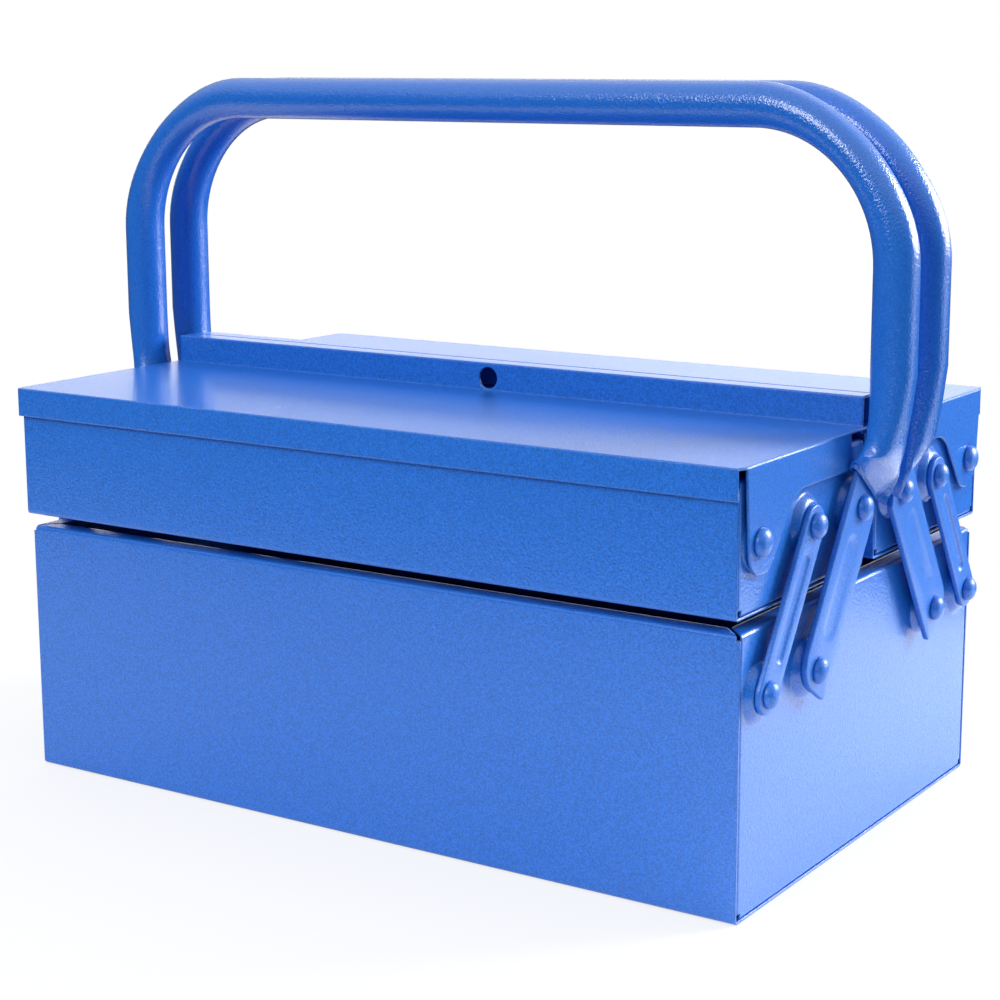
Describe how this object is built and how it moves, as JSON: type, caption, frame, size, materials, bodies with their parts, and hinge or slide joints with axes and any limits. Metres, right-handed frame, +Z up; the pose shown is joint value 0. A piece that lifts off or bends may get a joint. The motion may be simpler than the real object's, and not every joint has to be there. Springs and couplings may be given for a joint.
{
  "type": "cantilever tool box",
  "caption": "Painted sheet steel tool box whose lidded trays swing out on parallel links as the tube handles part.",
  "frame": {"origin": "centre of the underside, where the box rests", "axes": "+X along the box to the viewer's right, +Y from the front tray to the rear tray, +Z up"},
  "size_m": [0.3418, 0.196, 0.2601],
  "materials": {
    "blue_hammered_paint": "glossy hammered"
  },
  "bodies": {
    "base": {"base_shell": "blue_hammered_paint", "base_right_end": "blue_hammered_paint", "base_left_end": "blue_hammered_paint", "base_arm_rivets": "blue_hammered_paint", "base_link_rivets": "blue_hammered_paint"},
    "front_handle": {"front_handle_tube": "blue_hammered_paint", "front_arm_right": "blue_hammered_paint", "front_arm_left": "blue_hammered_paint"},
    "front_links": {"front_link_right": "blue_hammered_paint", "front_link_left": "blue_hammered_paint"},
    "front_tray": {"front_tray_shell": "blue_hammered_paint", "front_tray_right_end": "blue_hammered_paint", "front_tray_left_end": "blue_hammered_paint", "front_tray_arm_rivets": "blue_hammered_paint", "front_tray_link_rivets": "blue_hammered_paint", "front_lid_rivets": "blue_hammered_paint"},
    "front_cover": {"front_lid": "blue_hammered_paint"},
    "rear_handle": {"rear_handle_tube": "blue_hammered_paint", "rear_arm_right": "blue_hammered_paint", "rear_arm_left": "blue_hammered_paint"},
    "rear_links": {"rear_link_right": "blue_hammered_paint", "rear_link_left": "blue_hammered_paint"},
    "rear_tray": {"rear_tray_shell": "blue_hammered_paint", "rear_tray_right_end": "blue_hammered_paint", "rear_tray_left_end": "blue_hammered_paint", "rear_tray_arm_rivets": "blue_hammered_paint", "rear_tray_link_rivets": "blue_hammered_paint", "rear_lid_rivets": "blue_hammered_paint"},
    "rear_cover": {"rear_lid": "blue_hammered_paint"}
  },
  "joints": [
    {"name": "front_handle_swing", "type": "hinge", "parent": "base", "child": "front_handle", "pos_m": [0, -0.0481, 0.0731], "axis": [1, 0, 0], "range_deg": [0, 73.3]},
    {"name": "front_link_swing", "type": "hinge", "parent": "base", "child": "front_links", "pos_m": [0, -0.0815, 0.0731], "axis": [1, 0, 0], "range_deg": [0, 73.3]},
    {"name": "front_tray_level", "type": "hinge", "parent": "front_handle", "child": "front_tray", "pos_m": [0, -0.0169, 0.1213], "axis": [1, 0, 0], "range_deg": [-73.3, 0]},
    {"name": "front_lid_hinge", "type": "hinge", "parent": "front_tray", "child": "front_cover", "pos_m": [0, -0.0844, 0.1219], "axis": [1, 0, 0], "range_deg": [0, 84]},
    {"name": "rear_handle_swing", "type": "hinge", "parent": "base", "child": "rear_handle", "pos_m": [0, 0.0481, 0.0731], "axis": [-1, 0, 0], "range_deg": [0, 73.3]},
    {"name": "rear_link_swing", "type": "hinge", "parent": "base", "child": "rear_links", "pos_m": [0, 0.0815, 0.0731], "axis": [-1, 0, 0], "range_deg": [0, 73.3]},
    {"name": "rear_tray_level", "type": "hinge", "parent": "rear_handle", "child": "rear_tray", "pos_m": [0, 0.0169, 0.1213], "axis": [-1, 0, 0], "range_deg": [-73.3, 0]},
    {"name": "rear_lid_hinge", "type": "hinge", "parent": "rear_tray", "child": "rear_cover", "pos_m": [0, 0.0844, 0.1219], "axis": [-1, 0, 0], "range_deg": [0, 84]}
  ],
  "couplings": [
    {"joint": "front_link_swing", "follows": "front_handle_swing", "ratio": 1},
    {"joint": "front_tray_level", "follows": "front_handle_swing", "ratio": -1},
    {"joint": "rear_link_swing", "follows": "rear_handle_swing", "ratio": 1},
    {"joint": "rear_tray_level", "follows": "rear_handle_swing", "ratio": -1}
  ]
}
